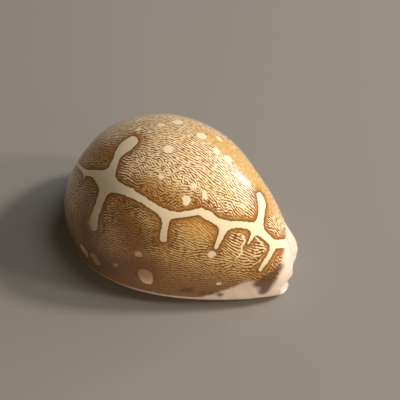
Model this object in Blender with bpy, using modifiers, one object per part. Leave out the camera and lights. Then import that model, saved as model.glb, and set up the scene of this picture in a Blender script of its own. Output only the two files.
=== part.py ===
"""Map cowrie: one rolled, porcelain-like shell that rests on its flat base, teeth down.

Metres, +Z up. +X is the narrow front end, -Y the outer lip's side and +Y the inner lip's side.
The shell is one sheet, rolled over a chamber until its two toothed lips nearly meet underneath.
"""

from math import acos, cos, exp, pi, radians, sin

import bpy

MM = 0.001

# Outside of the shell
LENGTH = 76.0 * MM
WIDTH = 52.8 * MM
HEIGHT = 43.6 * MM
BACK_END_HALF_WIDTH = 3.5 * MM
FRONT_END_HALF_WIDTH = 6.5 * MM
BACK_END_TOP = 12.5 * MM
FRONT_END_TOP = 9.0 * MM
BACK_END_LIFT = 3.9 * MM
FRONT_END_LIFT = 1.3 * MM
BACK_END_SWAY = 2.9 * MM
FRONT_END_SWAY = 2.0 * MM
CREST_LEAN = 0.95 * MM
BASE_SAG = 0.3 * MM

# How much an arc's middle stands out beyond an ellipse's, on the back and under the margin
BACK_BULGE = 0.053
BASE_BULGE = 0.13

# Height of the widest place as a share of the section's, at the tallest section and at the ends
MIDDLE_WIDEST_SHARE = 0.165
END_WIDEST_SHARE = 0.54

# The inner lip's side is fuller in the middle, then has a waist and a lobe at the front end:
# extra width, place along the half length, and reach
INNER_SIDE_SWELLS = ((2.0 * MM, 0.26, 0.28), (-2.8 * MM, 0.86, 0.13), (0.4 * MM, 0.98, 0.06))

# The ends' rims, seen from above: how far the back end's roof, the front end's lips and the
# inner lip's side stand back, then the front rim's bump and notch by extra length, place and reach
BACK_ROOF_RECESS = 1.0 * MM
FRONT_LIP_RECESS = 1.5 * MM
INNER_SIDE_RECESS = 2.2 * MM
FRONT_RIM_SWELLS = ((1.0 * MM, -2.2 * MM, 3.6 * MM), (-0.8 * MM, 4.2 * MM, 1.7 * MM))

# Inside of the shell
ROOF_THICKNESS = 1.7 * MM
SIDE_THICKNESS = 2.8 * MM
FLOOR_THICKNESS = 3.4 * MM
CHAMBER_REACH = 0.94
MOUTH_HEIGHT = 3.8 * MM
MOUTH_EXTRA = 1.4 * MM
LIP_TOP_HALF_WIDTH = 0.6 * MM
LIP_TOP_RISE = 0.6 * MM

# Aperture and teeth
SLIT_MIDDLE = -2.6 * MM
SLIT_FRONT_SHIFT = 0.8 * MM
SLIT_BACK = 2.9 * MM
SLIT_FRONT = 3.3 * MM
LIP_RADIUS = 1.9 * MM
LIP_HEIGHT = 4.0 * MM
END_LIP_SHARE = 0.4
TOOTH_PITCH = 2.0 * MM
TOOTH_DEPTH = 0.75 * MM
TOOTHED_HALF_LENGTH = 30.0 * MM

# Stations along the shell: even ones through the teeth, then even angles round each end
TOOTHED_STEPS = 2 * round(2 * TOOTHED_HALF_LENGTH / TOOTH_PITCH)
END_STEPS = 5
ROWS = TOOTHED_STEPS + 2 * END_STEPS

# Steps from the crest down one side: the dome, the base with its flat, the lip's edge and its wall
DOME_STEPS = 8
BASE_STATIONS = (0.0, 0.16, 0.36, 0.6, 0.8, 0.93, 1.0)
LIP_STEPS = 2
SIDE_STEPS = DOME_STEPS + len(BASE_STATIONS) - 1 + LIP_STEPS + 1


def blend(start, end, x):
    """Smooth step from 0 at start to 1 at end."""
    t = min(max((x - start) / (end - start), 0.0), 1.0)
    return t * t * (3.0 - 2.0 * t)


def between(low, high, share):
    return low + (high - low) * share


def plump(e, slope, curve, quartic):
    """Half an ellipse over -1..1, made fuller or slimmer along the way."""
    e = min(max(e, -1.0), 1.0)
    return (1.0 - e * e) ** 0.5 * (1.0 - slope * e + curve * e * e + quartic * e ** 4)


def peak(shape):
    return max(plump(i / 200.0, *shape) for i in range(-200, 201))


OUTLINE = (0.37, -0.31, 0.18)
BACK = (0.125, -0.31, 0.13)
OUTLINE_PEAK = peak(OUTLINE)
BACK_PEAK = peak(BACK)


def outline_share(e):
    """Share of the full width at e; the widest place is a little behind the middle."""
    return plump(e, *OUTLINE) / OUTLINE_PEAK


def back_share(e):
    """Share of the full height at e."""
    return plump(e, *BACK) / BACK_PEAK


def section(e):
    """Outer half width, top, underside and height of the widest place at e."""
    along = (1.0 + e) / 2.0
    end_half_width = between(BACK_END_HALF_WIDTH, FRONT_END_HALF_WIDTH, along)
    end_top = between(BACK_END_TOP, FRONT_END_TOP, along)
    half_width = between(end_half_width, WIDTH / 2.0, outline_share(e))
    top = between(end_top, HEIGHT, back_share(e))
    lift = BACK_END_LIFT * blend(0.45, 1.02, -e) ** 2 + FRONT_END_LIFT * blend(0.5, 1.02, e) ** 2
    under = lift - BASE_SAG * (1.0 - e * e)
    share = between(MIDDLE_WIDEST_SHARE, END_WIDEST_SHARE, (1.0 - back_share(e)) ** 2)
    return half_width, top, under, between(under, top, share)


def sway(e):
    """Sideways shift of a section at e: both ends turn to the inner lip's side."""
    return (FRONT_END_SWAY if e > 0.0 else BACK_END_SWAY) * abs(e) ** 3


def lip_share(e):
    """Share of the lips' full height at e: they are lower towards both ends."""
    return between(1.0, END_LIP_SHARE, e ** 4)


def side_swell(e, side):
    """Extra width of one side at e, less than none in the waist."""
    if side < 0.0:
        return 0.0
    return sum(extra * exp(-(((e - place_e) / reach) ** 2)) for extra, place_e, reach in INNER_SIDE_SWELLS)


def slit(e):
    """Middle line of the aperture and half its width at e: bowed to the outer lip's side."""
    bend = abs(e) ** (2.0 if e < 0.0 else 3.2)
    middle = SLIT_MIDDLE * (1.0 - bend) + sway(e) + SLIT_FRONT_SHIFT * max(e, 0.0) ** 6
    half_gap = between(SLIT_BACK, SLIT_FRONT, (1.0 + e) / 2.0) / 2.0
    return middle, half_gap


def tooth_groove(x):
    """Depth of the groove between teeth at x: none on a tooth, full between two."""
    wave = 0.5 - 0.5 * cos(2.0 * pi * x / TOOTH_PITCH)
    ends = 1.0 - blend(TOOTHED_HALF_LENGTH - TOOTH_PITCH, TOOTHED_HALF_LENGTH + TOOTH_PITCH, abs(x))
    return TOOTH_DEPTH * wave * ends


def outer_point(x, e, side, k):
    """Point of the outer surface, k steps down one side from the crest."""
    half_width, top, under, widest = section(e)
    margin = sway(e) + side * (half_width + side_swell(e, side))
    middle, half_gap = slit(e)
    wall = middle + side * half_gap
    lip = wall + side * LIP_RADIUS * between(1.0, 0.45, abs(e) ** 6)
    base_end = DOME_STEPS + len(BASE_STATIONS) - 1
    if k <= DOME_STEPS:
        angle = k / DOME_STEPS * pi / 2.0
        bulge = BACK_BULGE * sin(2.0 * angle)
        rise = cos(angle - bulge)
        y = between(sway(e), margin, sin(angle + bulge)) + CREST_LEAN * back_share(e) * rise ** 2
        return y, between(widest, top, rise)
    groove = tooth_groove(x)
    if k <= base_end:
        station = BASE_STATIONS[k - DOME_STEPS]
        angle = station * pi / 2.0
        bulge = BASE_BULGE * sin(2.0 * angle)
        y = between(lip, margin, cos(angle - bulge))
        z = between(widest, under, sin(angle + bulge))
        reach = 0.9 if station == 1.0 else 0.0
        return y, max(z, 0.0) + groove * reach
    turn = min((k - base_end) / LIP_STEPS, 1.0) * pi / 2.0
    y = between(lip, wall, sin(turn)) + side * groove * sin(turn)
    round_height = LIP_HEIGHT * lip_share(e) * 0.5
    z = max(under, 0.0) + round_height * (1.0 - cos(turn)) + groove * cos(turn)
    if k == SIDE_STEPS:
        z += round_height
        y -= side * groove * 0.4
    return y, z


def inner_point(e, side, k):
    """Point of the chamber's surface behind the outer point of the same step."""
    under = section(e)[2]
    middle, half_gap = slit(e)
    wall = middle + side * half_gap
    inside = e / CHAMBER_REACH
    full_extent = WIDTH / 2.0 - SIDE_THICKNESS - half_gap - side * middle
    extent = between(MOUTH_EXTRA, full_extent, outline_share(inside)) + min(side_swell(e, side), 0.0)
    extent = max(extent, MOUTH_EXTRA)
    ground = max(under, 0.0)
    roof = between(ground + MOUTH_HEIGHT, HEIGHT - ROOF_THICKNESS, back_share(inside))
    floor = ground + FLOOR_THICKNESS * lip_share(e)
    margin = between(floor, roof, 0.3)
    if k <= DOME_STEPS:
        angle = k / DOME_STEPS * pi / 2.0
        rise = cos(angle)
        centre = between(middle, sway(e) + CREST_LEAN * back_share(inside), rise)
        y = between(centre, wall + side * extent, sin(angle))
        return y, between(margin, roof, rise)
    share = (k - DOME_STEPS) / (SIDE_STEPS - DOME_STEPS)
    angle = share * pi / 2.0
    y = wall + side * between(LIP_TOP_HALF_WIDTH, extent, cos(angle) ** 1.4)
    z = between(margin, floor, min(sin(angle) * 1.15, 1.0))
    lip_rise = (LIP_HEIGHT - FLOOR_THICKNESS) * lip_share(e) + LIP_TOP_RISE
    return y, z + lip_rise * blend(0.6, 1.0, share)


def station_x(row):
    """Place along the shell of one row of points."""
    if row < END_STEPS:
        return -station_x(ROWS - row)
    if row <= ROWS - END_STEPS:
        return -TOOTHED_HALF_LENGTH + (row - END_STEPS) * TOOTH_PITCH / 2.0
    first_angle = acos(TOOTHED_HALF_LENGTH / (LENGTH / 2.0))
    return LENGTH / 2.0 * cos(first_angle * (ROWS - row) / END_STEPS)


def set_back(e, side, step, y):
    """How far both sides of the sheet stand back from an end's tip, where the outer one is at y."""
    low = blend(0.3 * DOME_STEPS, DOME_STEPS, step)
    if e < 0.0:
        return -BACK_ROOF_RECESS * (1.0 - low) * blend(0.75, 1.0, -e)
    to_lip = blend(0.25, 1.0, (step - DOME_STEPS) / (SIDE_STEPS - DOME_STEPS))
    swell = sum(extra * exp(-(((y - place_y) / reach) ** 2)) for extra, place_y, reach in FRONT_RIM_SWELLS)
    recess = (INNER_SIDE_RECESS * low if side > 0.0 else 0.0) - swell
    return between(recess, FRONT_LIP_RECESS, to_lip) * blend(0.75, 1.0, e)


def place(row, column, is_outer):
    """Position of one grid point of the sheet in the rolled shell."""
    x = station_x(row)
    e = x / (LENGTH / 2.0)
    step = abs(column - SIDE_STEPS)
    side = -1.0 if column < SIDE_STEPS else 1.0
    outer = outer_point(x, e, side, step)
    y, z = outer if is_outer else inner_point(e, side, step)
    return x - set_back(e, side, step, outer[0]), y, z


def porcelain():
    """Glazed cream and brown enamel of the back."""
    material = bpy.data.materials.new("cowrie_enamel")
    material.use_nodes = True
    shader = material.node_tree.nodes["Principled BSDF"]
    shader.inputs["Base Color"].default_value = (0.50, 0.27, 0.10, 1.0)
    shader.inputs["Roughness"].default_value = 0.18
    shader.inputs["Metallic"].default_value = 0.0
    return material


def stand_centred(mesh):
    """Bring the middle of the outline over the origin."""
    for axis in (0, 1):
        places = [vertex.co[axis] for vertex in mesh.vertices]
        middle = (min(places) + max(places)) / 2.0
        for vertex in mesh.vertices:
            vertex.co[axis] -= middle


def make_shell(collection):
    """Roll a flat two-sided sheet into the shell."""
    columns = 2 * SIDE_STEPS
    bpy.ops.mesh.primitive_grid_add(x_subdivisions=ROWS, y_subdivisions=columns, size=2.0)
    shell = bpy.context.object
    shell.name = "cowrie_shell"
    shell.data.name = "cowrie_shell"
    sheet = shell.modifiers.new("sheet", "SOLIDIFY")
    sheet.thickness = 0.1
    sheet.offset = -1.0
    bpy.ops.object.modifier_apply(modifier=sheet.name)
    for vertex in shell.data.vertices:
        row = round((vertex.co.x + 1.0) / 2.0 * ROWS)
        column = round((vertex.co.y + 1.0) / 2.0 * columns)
        vertex.co = place(row, column, vertex.co.z > -0.05)
    stand_centred(shell.data)
    shell.data.shade_smooth()
    shell.data.set_sharp_from_angle(angle=radians(38.0))
    shell.data.materials.append(porcelain())
    for owner in list(shell.users_collection):
        owner.objects.unlink(shell)
    collection.objects.link(shell)
    return shell


def main():
    for leftover in list(bpy.data.objects):
        bpy.data.objects.remove(leftover, do_unlink=True)
    collection = bpy.data.collections.new("cowrie")
    bpy.context.scene.collection.children.link(collection)
    make_shell(collection)


main()
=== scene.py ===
from math import acos, cos, pi, radians, sin, tan

import bpy
import numpy as np
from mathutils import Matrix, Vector
from mathutils.bvhtree import BVHTree


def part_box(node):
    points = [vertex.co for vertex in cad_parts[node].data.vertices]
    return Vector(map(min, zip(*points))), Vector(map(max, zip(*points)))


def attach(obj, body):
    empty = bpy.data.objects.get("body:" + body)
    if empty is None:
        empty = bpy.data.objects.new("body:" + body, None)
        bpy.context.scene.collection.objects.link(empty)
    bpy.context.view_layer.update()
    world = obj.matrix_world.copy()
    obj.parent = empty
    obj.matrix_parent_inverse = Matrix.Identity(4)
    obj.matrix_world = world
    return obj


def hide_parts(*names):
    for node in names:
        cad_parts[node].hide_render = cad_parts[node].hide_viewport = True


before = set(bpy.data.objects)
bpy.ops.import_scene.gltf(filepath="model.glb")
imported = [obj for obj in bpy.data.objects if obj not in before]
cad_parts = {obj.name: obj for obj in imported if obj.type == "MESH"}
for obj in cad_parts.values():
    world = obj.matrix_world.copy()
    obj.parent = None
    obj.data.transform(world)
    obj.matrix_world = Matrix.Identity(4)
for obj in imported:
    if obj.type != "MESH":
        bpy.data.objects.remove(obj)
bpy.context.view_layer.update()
cad_low, cad_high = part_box("cowrie_shell")

MM = 0.001

# The camera looks down on the outer lip's side, from in front of the narrow end, with a short
# telephoto lens. Its place comes first, because the markings are set by where they show.
FRAME_PIXELS = 400
AIM = Vector((-0.0004, -0.0004, 0.012))
AZIMUTH = radians(28.1)
ELEVATION = radians(51.2)
DISTANCE = 0.2181
LENS_ANGLE = radians(32.0)
AIM_PIXEL = (178.0, 218.3)

to_camera = Vector((sin(AZIMUTH) * cos(ELEVATION), -cos(AZIMUTH) * cos(ELEVATION), sin(ELEVATION)))
camera_data = bpy.data.cameras.new("camera")
camera = bpy.data.objects.new("camera", camera_data)
bpy.context.scene.collection.objects.link(camera)
camera.location = AIM + to_camera * DISTANCE
camera.rotation_euler = (-to_camera).to_track_quat("-Z", "Y").to_euler()
camera_data.sensor_fit = "HORIZONTAL"
camera_data.angle = LENS_ANGLE
camera_data.shift_x = 0.5 - AIM_PIXEL[0] / FRAME_PIXELS
camera_data.shift_y = AIM_PIXEL[1] / FRAME_PIXELS - 0.5
camera_data.clip_start = 0.01
bpy.context.scene.camera = camera


def pixel_ray(px, py):
    """Direction in which the camera sees one place of the 400 by 400 frame."""
    right = Vector((cos(AZIMUTH), sin(AZIMUTH), 0.0))
    up = to_camera.cross(right)
    reach = FRAME_PIXELS / 2 / tan(LENS_ANGLE / 2)
    return (right * (px - AIM_PIXEL[0]) - up * (py - AIM_PIXEL[1]) - to_camera * reach).normalized()


# The shell is one sheet of enamelled lime, rolled over a chamber until its two toothed lips
# nearly meet underneath. A flat grid gets a second side, and every point of it is then placed
# by its row along the shell and its column round it. e runs along the shell, from -1 at the back
# end to 1 at the front end. side is -1 on the outer lip's side and 1 on the inner lip's side.
LENGTH = 76.0 * MM
WIDTH = 52.8 * MM
HEIGHT = 43.6 * MM
CREST_LEAN = 0.95 * MM
BASE_SAG = 0.3 * MM

# Measures of the back end and of the front end
END_HALF_WIDTH = (3.5 * MM, 6.5 * MM)
END_TOP = (12.5 * MM, 9.0 * MM)
END_LIFT = (3.9 * MM, 1.3 * MM)
END_SWAY = (2.9 * MM, 2.0 * MM)

# How the outline and the crest's line differ from an ellipse: slope, curve and fourth power
OUTLINE = (0.37, -0.31, 0.18)
CREST = (0.125, -0.31, 0.13)

# How much an arc's middle stands out beyond an ellipse's, on the back and under the margin
BACK_BULGE = 0.053
BASE_BULGE = 0.13

# Height of the widest place as a share of the section's, at the tallest section and at the ends
MIDDLE_WIDEST_SHARE = 0.165
END_WIDEST_SHARE = 0.54

# The inner lip's side is fuller in the middle, then has a waist and a lobe at the front end:
# extra width, place along the half length, and reach
INNER_SIDE_SWELLS = ((2.0 * MM, 0.26, 0.28), (-2.8 * MM, 0.86, 0.13), (0.4 * MM, 0.98, 0.06))

# The ends' rims, seen from above: how far the back end's roof, the front end's lips and the
# inner lip's side stand back, then the front rim's bump and notch by extra length, place and reach
BACK_ROOF_RECESS = 1.0 * MM
FRONT_LIP_RECESS = 1.5 * MM
INNER_SIDE_RECESS = 2.2 * MM
FRONT_RIM_SWELLS = ((1.0 * MM, -2.2 * MM, 3.6 * MM), (-0.8 * MM, 4.2 * MM, 1.7 * MM))

# Chamber
ROOF_THICKNESS = 1.7 * MM
SIDE_THICKNESS = 2.8 * MM
FLOOR_THICKNESS = 3.4 * MM
CHAMBER_REACH = 0.94
CHAMBER_WIDEST_SHARE = 0.3
MOUTH_HEIGHT = 3.8 * MM
MOUTH_EXTRA = 1.4 * MM
LIP_TOP_HALF_WIDTH = 0.6 * MM
LIP_TOP_RISE = 0.6 * MM

# Aperture and teeth
SLIT_MIDDLE = -2.6 * MM
SLIT_FRONT_SHIFT = 0.8 * MM
SLIT_WIDTH = (2.9 * MM, 3.3 * MM)
LIP_RADIUS = 1.9 * MM
END_LIP_RADIUS_SHARE = 0.45
LIP_HEIGHT = 4.0 * MM
END_LIP_SHARE = 0.4
TOOTH_PITCH = 2.0 * MM
TOOTH_DEPTH = 0.7 * MM
TOOTHED_HALF_LENGTH = 30.0 * MM
OUTER_TOOTH_REACH = 4.0 * MM
INNER_TOOTH_REACH = 2.6 * MM

# Rows along the shell, and steps from the crest down one side
ROWS_PER_TOOTH = 6
END_ROWS = 12
RIM_ROWS = 5
RIM_START = 0.985
RIM_DEPTH = 0.55 * MM
DOME_STEPS = 80
BASE_STEPS = 18
LIP_STEPS = 10
WALL_STEPS = 3


def blend(start, end, x):
    """0 up to start, 1 from end on, and a smooth rise between them."""
    t = np.clip((x - start) / (end - start), 0.0, 1.0)
    return t * t * (3.0 - 2.0 * t)


def between(low, high, share):
    """Number that lies the given share of the way from low to high."""
    return low + (high - low) * share


def plump(e, shape):
    """Half an ellipse over -1..1, made fuller or slimmer along the way."""
    slope, curve, quartic = shape
    e = np.clip(e, -1.0, 1.0)
    return np.sqrt(1.0 - e * e) * (1.0 - slope * e + curve * e * e + quartic * e ** 4)


def share_of(e, shape):
    """Share of the full width or height at e: the plump curve with its highest place at 1."""
    return plump(e, shape) / plump(np.linspace(-1.0, 1.0, 401), shape).max()


def section(e):
    """Outer half width, top, underside and height of the widest place at e."""
    along = (1.0 + e) / 2.0
    half_width = between(between(*END_HALF_WIDTH, along), WIDTH / 2.0, share_of(e, OUTLINE))
    top = between(between(*END_TOP, along), HEIGHT, share_of(e, CREST))
    lift = END_LIFT[0] * blend(0.45, 1.02, -e) ** 2 + END_LIFT[1] * blend(0.5, 1.02, e) ** 2
    under = lift - BASE_SAG * (1.0 - e * e)
    widest_share = between(MIDDLE_WIDEST_SHARE, END_WIDEST_SHARE, (1.0 - share_of(e, CREST)) ** 2)
    return half_width, top, under, between(under, top, widest_share)


def sway(e):
    """Sideways shift of a section at e: both ends turn to the inner lip's side."""
    return np.where(e > 0.0, END_SWAY[1], END_SWAY[0]) * abs(e) ** 3


def side_swell(e, side):
    """Extra width of one side at e, less than none in the waist."""
    swell = sum(extra * np.exp(-(((e - place) / reach) ** 2)) for extra, place, reach in INNER_SIDE_SWELLS)
    return np.where(side > 0.0, swell, 0.0)


def slit(e):
    """Middle line of the aperture and half its width at e: bowed to the outer lip's side."""
    bend = abs(e) ** np.where(e < 0.0, 2.0, 3.2)
    middle = SLIT_MIDDLE * (1.0 - bend) + sway(e) + SLIT_FRONT_SHIFT * np.clip(e, 0.0, 1.0) ** 6
    return middle, between(*SLIT_WIDTH, (1.0 + e) / 2.0) / 2.0


def lip_share(e):
    """Height of the lips and floor at e, as a share of that in the middle."""
    return between(1.0, END_LIP_SHARE, e ** 4)


def tooth_wave(e):
    """0 on the middle of a tooth and 1 in the groove beside it."""
    return 0.5 - 0.5 * np.cos(2.0 * pi * e * LENGTH / 2.0 / TOOTH_PITCH)


def outer_surface(e, side, dome, base, lip, wall):
    """Height and sideways place of the outside; each of dome, base, lip and wall runs 0 to 1."""
    half_width, top, under, widest = section(e)
    margin = sway(e) + side * (half_width + side_swell(e, side))
    middle, half_gap = slit(e)
    wall_y = middle + side * half_gap
    lip_y = wall_y + side * LIP_RADIUS * between(1.0, END_LIP_RADIUS_SHARE, abs(e) ** 6)
    angle = dome * pi / 2.0
    bulge = BACK_BULGE * np.sin(2.0 * angle)
    rise = np.cos(angle - bulge)
    dome_y = between(sway(e), margin, np.sin(angle + bulge)) + CREST_LEAN * share_of(e, CREST) * rise ** 2
    dome_z = between(widest, top, rise)
    angle = base * pi / 2.0
    bulge = BASE_BULGE * np.sin(2.0 * angle)
    base_y = between(lip_y, margin, np.cos(angle - bulge))
    base_z = np.maximum(between(widest, under, np.sin(angle + bulge)), 0.0)
    from_middle = abs(e) * LENGTH / 2.0
    ends = 1.0 - blend(TOOTHED_HALF_LENGTH - TOOTH_PITCH, TOOTHED_HALF_LENGTH + TOOTH_PITCH, from_middle)
    reach = np.where(side > 0.0, INNER_TOOTH_REACH, OUTER_TOOTH_REACH)
    from_lip = abs(base_y - lip_y)
    groove = TOOTH_DEPTH * tooth_wave(e) ** 0.8 * ends * (1.0 - blend(0.0, 1.0, from_lip / reach))
    turn = lip * pi / 2.0
    half_lip = LIP_HEIGHT * lip_share(e) * 0.5
    lip_in = between(lip_y, wall_y, np.sin(turn)) + side * groove * np.sin(turn) * (1.0 - 0.4 * wall)
    lip_z = np.maximum(under, 0.0) + half_lip * (1.0 - np.cos(turn) + wall) + groove * np.cos(turn)
    y = np.where(lip > 0.0, lip_in, np.where(base > 0.0, base_y, dome_y))
    z = np.where(lip > 0.0, lip_z, np.where(base > 0.0, base_z + groove, dome_z))
    return y, z


def inner_surface(e, side, dome, rest):
    """Place of the chamber's wall behind the outside; rest runs 0 to 1 from margin to lip."""
    under = section(e)[2]
    middle, half_gap = slit(e)
    wall_y = middle + side * half_gap
    inside = e / CHAMBER_REACH
    full_extent = WIDTH / 2.0 - SIDE_THICKNESS - half_gap - side * middle
    extent = between(MOUTH_EXTRA, full_extent, share_of(inside, OUTLINE))
    extent = np.maximum(extent + np.minimum(side_swell(e, side), 0.0), MOUTH_EXTRA)
    ground = np.maximum(under, 0.0)
    roof = between(ground + MOUTH_HEIGHT, HEIGHT - ROOF_THICKNESS, share_of(inside, CREST))
    floor = ground + FLOOR_THICKNESS * lip_share(e)
    margin = between(floor, roof, CHAMBER_WIDEST_SHARE)
    rise = np.cos(dome * pi / 2.0)
    centre = between(middle, sway(e) + CREST_LEAN * share_of(inside, CREST), rise)
    dome_y = between(centre, wall_y + side * extent, np.sin(dome * pi / 2.0))
    angle = rest * pi / 2.0
    low_y = wall_y + side * between(LIP_TOP_HALF_WIDTH, extent, np.cos(angle) ** 1.4)
    low_z = between(margin, floor, np.minimum(np.sin(angle) * 1.15, 1.0))
    low_z = low_z + ((LIP_HEIGHT - FLOOR_THICKNESS) * lip_share(e) + LIP_TOP_RISE) * blend(0.6, 1.0, rest)
    return np.where(rest > 0.0, low_y, dome_y), np.where(rest > 0.0, low_z, between(margin, roof, rise))


def set_back(e, side, low, rest, y):
    """How far both sides of the sheet stand back from an end's tip, where the outer one is at y.

    low runs 0 to 1 down the dome, and rest 0 to 1 from the margin to the lip.
    """
    swell = sum(extra * np.exp(-(((y - place) / reach) ** 2)) for extra, place, reach in FRONT_RIM_SWELLS)
    rim_recess = np.where(side > 0.0, INNER_SIDE_RECESS * low, 0.0) - swell
    front_recess = between(rim_recess, FRONT_LIP_RECESS, blend(0.25, 1.0, rest))
    recess = np.where(e > 0.0, front_recess, BACK_ROOF_RECESS * (1.0 - low))
    return recess * blend(0.75, 1.0, abs(e)) * np.sign(e)


# Rows: even ones through the teeth, then even angles round each end, then the mouths' rims
toothed_rows = round(2.0 * TOOTHED_HALF_LENGTH / TOOTH_PITCH) * ROWS_PER_TOOTH
first_angle = acos(TOOTHED_HALF_LENGTH * 2.0 / LENGTH)
last_angle = acos(RIM_START)
end_stations = np.cos(np.linspace(first_angle, last_angle, END_ROWS + 1))[1:]
rim_stations = np.full(RIM_ROWS, RIM_START)
half_line = np.concatenate([end_stations, rim_stations])
even = np.linspace(-TOOTHED_HALF_LENGTH, TOOTHED_HALF_LENGTH, toothed_rows + 1) * 2.0 / LENGTH
row_e = np.concatenate([-half_line[::-1], even, half_line])
rim_turn = np.linspace(0.0, pi / 2.0, RIM_ROWS + 1)[1:]
row_turn = np.concatenate([rim_turn[::-1], np.zeros(len(even) + 2 * END_ROWS), rim_turn])
rows = len(row_e) - 1

# Columns from one side of the slit over the crest to the other; those of the base get closer
# together towards the lip
side_steps = DOME_STEPS + BASE_STEPS + LIP_STEPS + WALL_STEPS
columns = 2 * side_steps
step = abs(np.arange(columns + 1) - side_steps)
column_side = np.where(np.arange(columns + 1) < side_steps, -1.0, 1.0)
column_dome = np.clip(step / DOME_STEPS, 0.0, 1.0)
column_base = 1.0 - (1.0 - np.clip((step - DOME_STEPS) / BASE_STEPS, 0.0, 1.0)) ** 1.6
column_lip = np.clip((step - DOME_STEPS - BASE_STEPS) / LIP_STEPS, 0.0, 1.0)
column_wall = np.clip((step - DOME_STEPS - BASE_STEPS - LIP_STEPS) / WALL_STEPS, 0.0, 1.0)
column_rest = np.clip((step - DOME_STEPS) / (side_steps - DOME_STEPS), 0.0, 1.0)

e = row_e[:, None]
low = blend(0.3, 1.0, column_dome)[None, :]
outer_y, outer_z = outer_surface(e, column_side, column_dome, column_base, column_lip, column_wall)
inner_y, inner_z = inner_surface(e, column_side, column_dome, column_rest)
x = e * LENGTH / 2.0 - set_back(e, column_side, low, column_rest, outer_y)
outer_points = np.stack([x, outer_y, outer_z], axis=-1)
inner_points = np.stack([x, inner_y, inner_z], axis=-1)

# The mouth's rim is rolled over: both sides of the sheet turn in to the middle of its thickness
rim_middle = (outer_points + inner_points) / 2.0
turn_in = (1.0 - np.cos(row_turn))[:, None, None]
rim_out = np.sign(row_e)[:, None] * RIM_DEPTH * np.sin(row_turn)[:, None]
outer_points = between(outer_points, rim_middle, turn_in)
inner_points = between(inner_points, rim_middle, turn_in)
outer_points[..., 0] += rim_out
inner_points[..., 0] += rim_out

# Brought over the middle of the space that the frame gives it
for axis in (0, 1):
    middle = (outer_points[..., axis].min() + outer_points[..., axis].max()) / 2.0
    outer_points[..., axis] += (cad_low[axis] + cad_high[axis]) / 2.0 - middle
    inner_points[..., axis] += (cad_low[axis] + cad_high[axis]) / 2.0 - middle

bpy.ops.object.select_all(action="DESELECT")
bpy.ops.mesh.primitive_grid_add(x_subdivisions=rows, y_subdivisions=columns, size=2.0)
shell = bpy.context.object
shell.name = "shell"
shell.data.name = "shell"
FLAT_THICKNESS = 0.1
sheet = shell.modifiers.new("sheet", "SOLIDIFY")
sheet.thickness = FLAT_THICKNESS
sheet.offset = -1.0
bpy.ops.object.modifier_apply(modifier=sheet.name)

flat = np.empty(len(shell.data.vertices) * 3, np.float32)
shell.data.vertices.foreach_get("co", flat)
flat = flat.reshape(-1, 3)
vertex_row = np.rint((flat[:, 0] + 1.0) / 2.0 * rows).astype(int)
vertex_column = np.rint((flat[:, 1] + 1.0) / 2.0 * columns).astype(int)
is_outer = flat[:, 2] > -FLAT_THICKNESS / 2.0
places = np.where(
    is_outer[:, None],
    outer_points[vertex_row, vertex_column],
    inner_points[vertex_row, vertex_column],
)
shell.data.vertices.foreach_set("co", places.astype(np.float32).ravel())
shell.data.update()
shell.data.shade_smooth()

# The markings are colour in the enamel: a cream line where the two flaps of the mantle met, cream
# spots, brown smudges and the pale callus of the narrow end. Each is a chain of discs, placed by
# where it shows in the frame (x, y and radius in pixels) and cast onto the shell.
PIXELS_PER_MM = 3.2
PIXEL = MM / PIXELS_PER_MM
MANTLE_LINES = (
    ((77.0, 162.5, 2.4), (81.0, 168.0, 2.2), (85.5, 172.5, 3.0), (94.0, 173.5, 4.2), (104.0, 179.0, 8.0)),
    ((85.5, 173.0, 2.2), (83.5, 179.0, 0.9), (82.5, 182.0, 0.3)),
    ((104.0, 179.0, 8.0), (110.0, 184.0, 8.0), (119.0, 188.0, 5.2), (130.0, 192.5, 3.9)),
    ((130.0, 192.5, 3.9), (143.0, 199.8, 3.6), (156.0, 208.3, 3.8), (166.0, 214.8, 4.0)),
    ((104.0, 180.0, 8.0), (104.5, 190.0, 6.2), (99.0, 204.0, 4.6), (95.6, 214.0, 5.0), (92.6, 225.0, 6.4)),
    ((108.0, 179.0, 8.0), (112.5, 168.0, 5.4), (116.5, 158.5, 4.2), (120.0, 152.0, 6.4), (126.0, 145.5, 7.8)),
    ((126.0, 145.5, 7.8), (131.0, 139.8, 5.6)),
    ((128.0, 146.0, 6.0), (133.6, 142.2, 5.0)),
    ((166.0, 214.8, 4.0), (179.0, 215.0, 3.1), (190.0, 213.5, 3.1), (200.0, 211.2, 3.5), (208.0, 215.3, 3.6)),
    ((208.0, 215.3, 3.6), (217.0, 221.5, 3.8), (225.0, 225.5, 4.2)),
    ((166.0, 216.0, 3.8), (165.0, 226.0, 3.2), (163.7, 234.0, 3.4), (163.4, 239.0, 3.9)),
    ((225.0, 225.5, 4.2), (237.0, 224.3, 3.4), (247.0, 225.2, 3.7), (257.5, 228.5, 5.0)),
    ((224.0, 228.5, 3.8), (221.0, 236.0, 3.3), (218.0, 243.0, 2.7), (216.0, 247.5, 2.2)),
    ((259.5, 224.0, 4.6), (261.5, 213.0, 4.2), (262.0, 203.0, 5.8), (260.3, 197.0, 5.4)),
    ((254.0, 233.0, 2.8), (251.0, 238.5, 2.2), (248.0, 244.0, 1.3)),
    ((257.5, 228.5, 5.0), (267.0, 237.5, 4.0), (274.5, 244.3, 4.0), (283.0, 243.5, 4.6), (290.0, 242.0, 5.0)),
    ((272.5, 248.5, 3.4), (269.0, 256.0, 3.1), (264.5, 263.0, 3.1), (259.5, 270.5, 2.4)),
)
THIN_LINES = (
    ((242.8, 236.5, 1.2), (245.3, 240.6, 0.9), (241.5, 246.5, 0.9), (241.8, 253.0, 0.8), (236.0, 258.5, 0.8)),
    ((254.8, 236.5, 0.5), (261.5, 243.0, 0.8), (265.5, 250.0, 0.8), (264.0, 257.0, 0.8), (259.0, 262.0, 0.6)),
)
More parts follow.
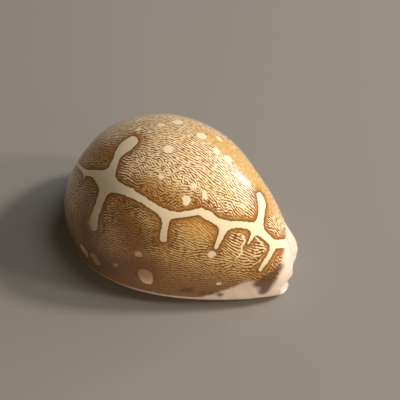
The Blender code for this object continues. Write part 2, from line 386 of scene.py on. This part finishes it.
SPOTS = (
    ((168.5, 149.0, 3.8),),
    ((178.0, 122.0, 4.4),),
    ((160.5, 125.0, 3.2),),
    ((138.0, 129.0, 2.6),),
    ((137.0, 120.5, 2.0), (145.0, 117.8, 1.6)),
    ((202.0, 136.0, 4.2),),
    ((219.0, 138.8, 3.0),),
    ((216.5, 151.0, 3.2),),
    ((228.0, 158.5, 3.6),),
    ((186.5, 200.3, 3.4),),
    ((204.3, 192.5, 1.5), (205.2, 198.0, 1.3)),
    ((194.5, 185.5, 1.7),),
    ((160.5, 176.7, 1.8),),
    ((243.0, 206.0, 1.8),),
    ((138.5, 254.4, 3.0),),
    ((145.0, 274.5, 6.6), (146.5, 279.5, 6.2)),
    ((93.5, 256.5, 4.4), (96.5, 261.5, 4.4)),
    ((82.5, 248.0, 3.4), (86.0, 253.0, 3.8)),
    ((115.5, 265.0, 2.4),),
    ((219.3, 283.3, 2.0),),
    ((211.7, 254.3, 3.2),),
)
CALLUS = (
    (
        (286.5, 226.0, 2.5), (290.0, 236.0, 7.5), (290.0, 248.0, 11.5), (289.0, 262.0, 10.5),
        (287.0, 276.0, 9.5),
    ),
    ((287.0, 276.0, 9.5), (290.0, 284.0, 9.0), (280.0, 288.0, 8.0)),
    ((222.0, 297.5, 5.0), (236.0, 297.0, 8.0), (262.0, 296.0, 9.0)),
    (
        (205.0, 297.5, 2.2), (218.0, 295.5, 4.5), (233.0, 293.0, 8.0), (248.0, 289.5, 11.5),
        (260.0, 291.0, 11.0),
    ),
    ((260.0, 291.0, 11.0), (278.0, 289.0, 8.0)),
)
SMUDGES = (
    ((280.0, 267.0, 3.0), (275.0, 273.0, 4.6), (267.0, 281.0, 6.2), (259.0, 284.0, 4.0)),
    ((267.0, 281.0, 6.2), (264.0, 291.5, 4.6)),
    ((184.0, 290.0, 2.4), (190.0, 290.2, 2.4)),
    ((203.0, 293.4, 2.4),),
    ((211.0, 293.2, 2.4),),
    ((220.0, 294.8, 2.6),),
)

# Areas where the ground is more golden, where it is darker, and where the fine lines form a maze.
# The darker areas are partly darker cells of the pattern and partly painted shade, most of it over the
# back end and the lower left of the near side
GOLDEN = (
    ((200.0, 130.0, 5.0), (222.0, 144.0, 9.0), (243.0, 162.0, 9.0), (258.0, 184.0, 8.0), (270.0, 205.0, 7.0)),
    ((190.0, 228.0, 9.0), (204.0, 232.0, 9.0)),
)
DARK_CELLS_AND_SHADE = (
    ((82.0, 157.0, 9.0), (91.0, 148.0, 13.0), (107.0, 155.0, 10.0)),
    ((88.0, 192.0, 7.0), (84.0, 214.0, 10.0), (88.0, 236.0, 10.0)),
    ((124.0, 215.0, 11.0), (136.0, 238.0, 14.0)),
    ((278.0, 254.0, 3.0), (270.0, 267.0, 4.0)),
    ((140.0, 181.0, 4.0), (152.0, 187.0, 8.0), (170.0, 198.0, 8.0), (186.0, 201.0, 6.0), (198.0, 199.0, 3.0)),
    # Painted shade over the lower left
    ((93.0, 258.0, 12.0), (118.0, 267.0, 12.0), (144.0, 268.0, 16.0)),
)
MAZES = (
    ((148.0, 166.0, 16.0), (170.0, 185.0, 20.0), (196.0, 196.0, 10.0)),
    ((122.0, 214.0, 16.0), (134.0, 232.0, 18.0)),
    ((222.0, 206.0, 10.0),),
    ((272.0, 262.0, 8.0),),
)

# The side that the frame doesn't show: mm along the shell, share of the way down to the margin, and
# radius in mm
FAR_SPOTS = (
    (-29.0, 0.82, 0.9), (-24.0, 0.55, 1.2), (-19.0, 0.90, 1.4), (-15.0, 0.72, 0.8), (-9.0, 0.50, 0.9),
    (-8.0, 0.88, 1.0), (-2.0, 0.80, 1.5), (4.0, 0.62, 0.8), (7.0, 0.92, 1.1), (12.0, 0.78, 0.9),
    (17.0, 0.60, 1.1), (20.0, 0.90, 1.2), (25.0, 0.76, 0.8), (28.0, 0.52, 0.7),
)
FAR_SMUDGES = ((-22.0, 1.0, 0.7), (-5.0, 1.0, 0.6), (9.0, 1.0, 0.8), (23.0, 1.0, 0.6), (32.0, 0.9, 1.0))
FAR_CALLUS = ((37.5, 0.0, 4.5), (37.5, 0.5, 4.5), (37.5, 1.0, 5.0), (34.0, 1.0, 3.0))

# The outside as faces, for the rays that find where the camera sees a place of the frame
quad_rows, quad_columns = np.meshgrid(np.arange(rows), np.arange(columns), indexing="ij")
corner = (quad_rows * (columns + 1) + quad_columns).ravel()
quads = np.stack([corner, corner + columns + 1, corner + columns + 2, corner + 1], axis=-1)
surface = BVHTree.FromPolygons(outer_points.reshape(-1, 3).tolist(), quads.tolist())


def seen_at(px, py):
    """Place on the shell that the camera sees; just off the outline, the nearest one inside it."""
    for pull in np.linspace(0.0, 0.2, 41):
        ray = pixel_ray(between(px, AIM_PIXEL[0], pull), between(py, AIM_PIXEL[1], pull))
        hit = surface.ray_cast(camera.location, ray)[0]
        if hit:
            return np.array(hit)
    raise ValueError("no part of the shell near this place")


def seen(chains):
    """Chains of discs with their places on the shell, from places in the frame."""
    return [[(seen_at(px, py), radius * PIXEL) for px, py, radius in chain] for chain in chains]


def out_of_sight(along, down):
    """Place on the side that the frame doesn't show: mm along, and share of the way to the margin."""
    row = abs(row_e * LENGTH / 2.0 - along * MM).argmin()
    return outer_points[row, side_steps + round(down * DOME_STEPS)]


def far_chain(discs):
    """One chain of discs on the side that the frame doesn't show."""
    return [(out_of_sight(along, down), radius * MM) for along, down, radius in discs]


def distance_to(chains, softness):
    """Distance in mm from each outer point to the edge of chains of discs, less than none inside.

    Chains that come closer to each other than about the softness run together.
    """
    points = outer_points.reshape(-1, 3)
    total = np.zeros(len(points))
    for discs in chains:
        nearest = np.full(len(points), np.inf)
        for (start, start_radius), (end, end_radius) in zip(discs, discs[1:] or discs):
            run = end - start
            share = np.clip((points - start) @ run / max(run @ run, 1e-12), 0.0, 1.0)
            gap = np.linalg.norm(points - start - share[:, None] * run, axis=1)
            nearest = np.minimum(nearest, gap - between(start_radius, end_radius, share))
        total += np.exp(-nearest / softness)
    return -softness * np.log(np.maximum(total, 1e-30)).reshape(outer_points.shape[:2]) / MM


def keep_field(name, values):
    """Store one number for each grid point of the sheet, the same on both sides of it."""
    attribute = shell.data.attributes.new(name, "FLOAT", "POINT")
    attribute.data.foreach_set("value", values[vertex_row, vertex_column].astype(np.float32))


far_spots = [far_chain([spot]) for spot in FAR_SPOTS]
far_smudges = [far_chain([smudge]) for smudge in FAR_SMUDGES]
keep_field("line", distance_to(seen(MANTLE_LINES), 0.45 * MM))
keep_field("thin", distance_to(seen(THIN_LINES), 0.1 * MM))
keep_field("spots", distance_to(seen(SPOTS) + far_spots, 0.2 * MM))
keep_field("callus", distance_to(seen(CALLUS) + [far_chain(FAR_CALLUS)], 0.8 * MM))
keep_field("dark_and_shade", distance_to(seen(DARK_CELLS_AND_SHADE), 1.5 * MM))
keep_field("smudges", distance_to(seen(SMUDGES) + far_smudges, 0.5 * MM))
keep_field("golden", distance_to(seen(GOLDEN), 2.0 * MM))
keep_field("maze", distance_to(seen(MAZES), 2.0 * MM))

# How far round each point is (0 on the crest, 1 at the margin, 2 at the lip), and how deep in a
# groove between teeth, whose tan colour fades over a few mm from the slit
GROOVE_COLOUR_REACH = 5.0 * MM
around = np.broadcast_to(column_dome + column_base, outer_points.shape[:2])
keep_field("around", around)
is_toothed = abs(e) * LENGTH / 2.0 < TOOTHED_HALF_LENGTH + TOOTH_PITCH / 2.0
slit_middle, half_gap = slit(e)
from_slit = abs(outer_y - (slit_middle + column_side * half_gap))
near_slit = 1.0 - np.clip(from_slit / GROOVE_COLOUR_REACH, 0.0, 1.0)
keep_field("groove", tooth_wave(e) * is_toothed * near_slit * (around > 1.0))
inside_points = shell.data.attributes.new("inside", "FLOAT", "POINT")
inside_points.data.foreach_set("value", (~is_outer).astype(np.float32))

# Real distances along the shell and round it, in mm, as the map of the fine lines, and the angle of
# the columns of points in that map
steps_along = np.linalg.norm(np.diff(outer_points, axis=0), axis=-1)
steps_round = np.linalg.norm(np.diff(outer_points, axis=1), axis=-1)
along_mm = np.concatenate([np.zeros((1, columns + 1)), np.cumsum(steps_along, axis=0)]) / MM
round_mm = np.concatenate([np.zeros((rows + 1, 1)), np.cumsum(steps_round, axis=1)], axis=1) / MM
along_mm = along_mm - along_mm[rows // 2]
round_mm = round_mm - round_mm[:, side_steps][:, None]
turned = np.arctan2(np.gradient(round_mm, axis=0), np.maximum(np.gradient(along_mm, axis=0), 0.02))
keep_field("turned", np.clip(turned, -0.9, 0.9))

corner_vertex = np.empty(len(shell.data.loops), np.int32)
shell.data.loops.foreach_get("vertex_index", corner_vertex)
corner_row = vertex_row[corner_vertex]
corner_column = vertex_column[corner_vertex]
growth = shell.data.uv_layers.new(name="Growth")
growth_uv = np.stack([along_mm[corner_row, corner_column], round_mm[corner_row, corner_column]], axis=-1)
growth.data.foreach_set("uv", growth_uv.astype(np.float32).ravel())

# A second map without overlaps, most of it for the back. By height in the map: the outside from
# 0.01 to 0.90, the inside from 0.905 to 0.955, the rims of both ends side by side from 0.965 to
# 0.977, and the two walls of the slit from 0.982 to 0.987 and from 0.991 to 0.996
bake_round = np.interp(step, (0, DOME_STEPS, DOME_STEPS + BASE_STEPS, side_steps), (0.0, 0.35, 0.425, 0.445))
bake_round = (bake_round * column_side)[corner_column]
bake_along = (along_mm[:, side_steps] - along_mm[0, side_steps]) / np.ptp(along_mm[:, side_steps])
corner_outer = is_outer[corner_vertex]
face_outer = corner_outer.reshape(-1, 4)
face_row = corner_row.reshape(-1, 4)
face_column = corner_column.reshape(-1, 4)
on_outside = np.repeat(face_outer.all(axis=1), 4)
on_edge = np.repeat(face_outer.any(axis=1), 4) & ~on_outside
on_rim = on_edge & np.repeat((face_row == face_row[:, :1]).all(axis=1), 4)
at_back_end = np.repeat(face_row.mean(axis=1) < rows / 2, 4)
on_outer_lip = np.repeat(face_column.mean(axis=1) < columns / 2, 4)
rim_u = np.where(at_back_end, 0.01, 0.51) + 0.47 * corner_column / columns
rim_v = 0.965 + 0.012 * corner_outer
wall_v = np.where(on_outer_lip, 0.982, 0.991) + 0.005 * corner_outer
bake_u = np.where(on_rim, rim_u, 0.01 + 0.98 * bake_along[corner_row])
bake_v = np.where(on_outside, 0.455 + bake_round, 0.93 + 0.055 * bake_round)
bake_v = np.where(on_edge, np.where(on_rim, rim_v, wall_v), bake_v)
bake_map = shell.data.uv_layers.new(name="OFBake")
bake_map.data.foreach_set("uv", np.stack([bake_u, bake_v], axis=-1).astype(np.float32).ravel())

# The enamel: glossy, cream and brown, with fine wavy lines along the shell that turn into a maze
# or break up into dots beside the mantle line. Its colours on the back, for the ground and for the
# fine lines, then for what lies over them
BROWN = (0.20, 0.070, 0.012, 1.0)
GOLDEN_BROWN = (0.46, 0.22, 0.040, 1.0)
MARGIN_BROWN = (0.20, 0.082, 0.021, 1.0)
# Painted shade: the dull brown and the dull cream darken the dark areas low on the sides
DULL_SHADED_BROWN = (0.13, 0.042, 0.004, 1.0)
PALE = (0.74, 0.48, 0.18, 1.0)
HIGH_PALE = (0.88, 0.68, 0.40, 1.0)
GOLDEN_PALE = (0.86, 0.60, 0.27, 1.0)
# Pale of the fine lines in the darker areas, partly darker cells and partly painted shade
DARK_AND_SHADED_PALE = (0.52, 0.29, 0.095, 1.0)
MARGIN_PALE = (0.34, 0.170, 0.052, 1.0)
LINE_BAND = (0.36, 0.165, 0.033, 1.0)
LINE_RIM = (0.17, 0.062, 0.013, 1.0)
CREAM = (0.86, 0.71, 0.47, 1.0)
DULL_SHADED_CREAM = (0.44, 0.28, 0.12, 1.0)
SMUDGE_BROWN = (0.11, 0.047, 0.014, 1.0)

# The base, the callus and the inside. The callus is darker up the side, as painted shade, and the base
# lighter low down, partly its own whitish colour and partly painted light
SIDE_LIME_AND_SHADE = (0.74, 0.60, 0.49, 1.0)
LOW_LIME_AND_LIGHT = (0.97, 0.85, 0.72, 1.0)
ROSY_LIME = (0.80, 0.62, 0.50, 1.0)
GROOVE_TAN = (0.45, 0.25, 0.12, 1.0)
INSIDE_GREY = (0.55, 0.47, 0.42, 1.0)

enamel = bpy.data.materials.new("cowrie_enamel")
enamel.use_nodes = True
tree = enamel.node_tree
shader = tree.nodes["Principled BSDF"]


def join(value, socket):
    """Feed a socket from another one, or set it to a number or a colour."""
    if isinstance(value, bpy.types.NodeSocket):
        tree.links.new(value, socket)
    else:
        socket.default_value = value


def maths(operation, *values):
    """One step of arithmetic with sockets or numbers."""
    node = tree.nodes.new("ShaderNodeMath")
    node.operation = operation
    for value, socket in zip(values, node.inputs):
        join(value, socket)
    return node.outputs[0]


def rising(low, high, value):
    """Smooth step from 0 to 1 as a value goes from low to high."""
    node = tree.nodes.new("ShaderNodeMapRange")
    node.interpolation_type = "SMOOTHSTEP"
    for given, name in ((value, "Value"), (low, "From Min"), (high, "From Max")):
        join(given, node.inputs[name])
    return node.outputs["Result"]


def falling(low, high, value):
    """Smooth step from 1 to 0 as a value goes from low to high."""
    return maths("SUBTRACT", 1.0, rising(low, high, value))


def uneven(value, texture, amount):
    """A value that a texture of 0 to 1 pushes up and down, by half the amount each way."""
    return maths("ADD", value, maths("MULTIPLY", maths("SUBTRACT", texture, 0.5), amount))


def blended(share, first, second):
    """The first colour, and more of the second as the share goes from 0 to 1."""
    node = tree.nodes.new("ShaderNodeMix")
    node.data_type = "RGBA"
    join(share, node.inputs[0])
    join(first, node.inputs[6])
    join(second, node.inputs[7])
    return node.outputs[2]


def field(name):
    """Number that is stored under this name in the points of the sheet."""
    node = tree.nodes.new("ShaderNodeAttribute")
    node.attribute_name = name
    return node.outputs["Fac"]


def stretched(place, along, across):
    """Place in a map, each way multiplied by its own number."""
    node = tree.nodes.new("ShaderNodeVectorMath")
    node.operation = "MULTIPLY"
    join(place, node.inputs[0])
    join((along, across, 0.0), node.inputs[1])
    return node.outputs[0]


def noise(place, scale, detail=2.0):
    """Smooth noise between 0 and 1, with the given number of cells per mm."""
    node = tree.nodes.new("ShaderNodeTexNoise")
    node.noise_dimensions = "2D"
    join(place, node.inputs["Vector"])
    node.inputs["Scale"].default_value = scale
    node.inputs["Detail"].default_value = detail
    return node.outputs["Fac"]


growth_node = tree.nodes.new("ShaderNodeUVMap")
growth_node.uv_map = "Growth"
growth_place = growth_node.outputs["UV"]
fine = noise(growth_place, 1.1)
coarse = noise(growth_place, 0.16)
ragged = noise(growth_place, 0.6, 1.0)
around_field = field("around")

# Fine lines: how far one is from the next in mm, and how many cells of their texture go into 1 mm
LINE_PITCH = 0.72
CELLS_PER_MM = 0.40
gabor = tree.nodes.new("ShaderNodeTexGabor")
gabor.gabor_type = "2D"
join(growth_place, gabor.inputs["Vector"])
gabor.inputs["Scale"].default_value = CELLS_PER_MM
gabor.inputs["Frequency"].default_value = 1.0 / LINE_PITCH / CELLS_PER_MM
mazy = falling(-1.5, 3.0, field("maze"))
join(maths("SUBTRACT", 1.0, maths("MULTIPLY", mazy, 0.55)), gabor.inputs["Anisotropy"])
lines_turn = uneven(field("turned"), coarse, 1.6)
join(maths("ADD", lines_turn, pi / 2.0), gabor.inputs["Orientation"])
wave = maths("COSINE", maths("MULTIPLY", gabor.outputs["Phase"], 2.0 * pi))

# They are broken up by a noise, thinner beside the mantle line, wider high on the back, and fainter
# in golden areas
from_line = uneven(field("line"), fine, 0.55)
near_line = falling(0.8, 4.4, from_line)
high_up = falling(0.30, 0.75, around_field)
broken = noise(stretched(growth_place, 0.9, 1.4), 1.0, 0.0)
bias = uneven(maths("MULTIPLY", near_line, 0.75), broken, -2.4)
bias = maths("SUBTRACT", bias, maths("MULTIPLY", high_up, 0.30))
golden_area = falling(-2.0, 2.5, field("golden"))
pale_share = rising(-0.45, 0.55, maths("SUBTRACT", wave, bias))
pale_share = maths("MULTIPLY", pale_share, maths("SUBTRACT", 1.0, maths("MULTIPLY", golden_area, 0.35)))

# The ground between the lines is brown, with golden patches, and duller in the dark areas low on the sides,
# which is mostly painted shade
patches = rising(0.45, 0.70, noise(growth_place, 0.22, 1.0))
golden = maths("MAXIMUM", golden_area, maths("MULTIPLY", patches, 0.4))
# Darker cells of the pattern, with painted shade over the back end and the lower left
dark_and_shade = falling(-3.0, 3.5, field("dark_and_shade"))
to_margin = rising(0.64, 0.96, around_field)
brown = blended(golden, BROWN, GOLDEN_BROWN)
brown = blended(to_margin, brown, MARGIN_BROWN)
pale = blended(high_up, PALE, HIGH_PALE)
pale = blended(golden, pale, GOLDEN_PALE)
pale = blended(dark_and_shade, pale, DARK_AND_SHADED_PALE)
pale = blended(to_margin, pale, MARGIN_PALE)
back_colour = blended(pale_share, brown, pale)
# Low on the sides the dark areas are dulled further: painted shade
dull_and_shaded = maths("MULTIPLY", dark_and_shade, rising(0.45, 0.70, around_field))
back_colour = blended(maths("MULTIPLY", dull_and_shaded, 0.45), back_colour, DULL_SHADED_BROWN)

# A golden band with a thin dark rim beside the mantle line, then the spots, the thin lines and the
# mantle line itself
band = falling(0.6, 1.6, from_line)
back_colour = blended(maths("MULTIPLY", band, 0.75), back_colour, LINE_BAND)
rim = falling(0.10, 0.55, from_line)
back_colour = blended(maths("MULTIPLY", rim, 0.8), back_colour, LINE_RIM)
# Cream marks in the dulled areas are darker too: painted shade
cream = blended(dull_and_shaded, CREAM, DULL_SHADED_CREAM)
spot_share = falling(0.0, 0.30, uneven(field("spots"), ragged, 1.1))
thin_share = falling(-0.10, 0.14, uneven(field("thin"), fine, 0.3))
line_share = falling(-0.30, -0.06, from_line)
for cream_share in (spot_share, thin_share, line_share):
    back_colour = blended(cream_share, back_colour, cream)

# Pale base and callus, brown smudges, tan grooves between the teeth, and the dull inside
under_share = rising(1.05, 1.16, uneven(around_field, coarse, 0.10))
callus_share = falling(-0.7, 0.9, uneven(field("callus"), fine, 1.0))
# Partly painted light and shade: the lime is darker up the side of the callus and lighter on the base
lime_and_light = blended(rising(0.82, 1.0, around_field), SIDE_LIME_AND_SHADE, LOW_LIME_AND_LIGHT)
lime_and_light = blended(maths("MULTIPLY", rising(0.35, 0.65, coarse), 0.4), lime_and_light, ROSY_LIME)
colour = blended(maths("MAXIMUM", under_share, callus_share), back_colour, lime_and_light)
smudge_share = falling(-0.9, 1.3, uneven(field("smudges"), coarse, 1.6))
colour = blended(maths("MULTIPLY", smudge_share, 0.92), colour, SMUDGE_BROWN)
groove_share = rising(0.25, 0.8, field("groove"))
colour = blended(maths("MULTIPLY", groove_share, 0.75), colour, GROOVE_TAN)
colour = blended(field("inside"), colour, INSIDE_GREY)

join(colour, shader.inputs["Base Color"])
shader.inputs["Roughness"].default_value = 0.22
shader.inputs["IOR"].default_value = 1.5
shader.inputs["Coat Weight"].default_value = 0.3
shader.inputs["Coat Roughness"].default_value = 0.05
shell.data.materials.append(enamel)
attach(shell, "root")
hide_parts("cowrie_shell")

# A plain pale floor. Warm light comes from the right and from behind the narrow end, so the back end
# lies in shade; only a soft panel and a small bluish window show in the gloss.
bpy.ops.object.select_all(action="DESELECT")
bpy.ops.mesh.primitive_plane_add(size=4.0, location=(0.0, 0.0, 0.0))
floor = bpy.context.object
floor.name = "floor"
paper = bpy.data.materials.new("pale_floor")
paper.use_nodes = True
paper_shader = paper.node_tree.nodes["Principled BSDF"]
paper_shader.inputs["Base Color"].default_value = (0.27, 0.25, 0.22, 1.0)
paper_shader.inputs["Roughness"].default_value = 0.9
floor.data.materials.append(paper)

# Each lamp: bearing and height in degrees, distance, width and height in metres, energy in watts,
# tint, and whether the enamel mirrors it
LAMP_TARGET = Vector((0.0, 0.0, 0.02))
for name, bearing, rise_angle, distance, extent, energy, tint, mirrored in (
    ("first_key", 36.0, 41.0, 1.5, (0.20, 0.20), 14.5, (1.0, 0.93, 0.87), False),
    ("second_key", 17.0, 30.0, 1.5, (0.20, 0.20), 7.5, (1.0, 0.92, 0.84), False),
    ("soft_panel", 50.0, 29.0, 1.2, (0.85, 0.55), 3.3, (0.90, 0.88, 1.0), True),
    ("small_window", 57.1, 15.8, 1.5, (0.045, 0.16), 2.6, (0.74, 0.87, 1.0), True),
    ("top_fill", 30.0, 66.0, 1.5, (0.60, 0.60), 6.5, (0.97, 0.98, 1.0), False),
    ("right_fill", -8.0, 5.0, 1.5, (0.40, 0.14), 6.0, (1.0, 0.84, 0.66), False),
    ("front_fill", -30.0, 4.0, 1.5, (0.60, 0.20), 5.5, (1.0, 0.80, 0.58), False),
    ("back_fill", 180.0, 14.0, 1.5, (0.60, 0.40), 1.8, (1.0, 0.80, 0.58), False),
):
    lamp_data = bpy.data.lights.new(name, "AREA")
    lamp_data.shape = "ELLIPSE"
    lamp_data.size, lamp_data.size_y = extent
    lamp_data.energy = energy
    lamp_data.color = tint
    lamp = bpy.data.objects.new(name, lamp_data)
    bpy.context.scene.collection.objects.link(lamp)
    level = cos(radians(rise_angle))
    toward = Vector((cos(radians(bearing)) * level, sin(radians(bearing)) * level, sin(radians(rise_angle))))
    lamp.location = LAMP_TARGET + toward * distance
    lamp.rotation_euler = toward.to_track_quat("Z", "Y").to_euler()
    lamp.visible_glossy = mirrored

world = bpy.data.worlds.new("studio")
world.use_nodes = True
world.node_tree.nodes["Background"].inputs["Color"].default_value = (0.038, 0.032, 0.025, 1.0)
bpy.context.scene.world = world
bpy.context.scene.view_settings.view_transform = "Standard"
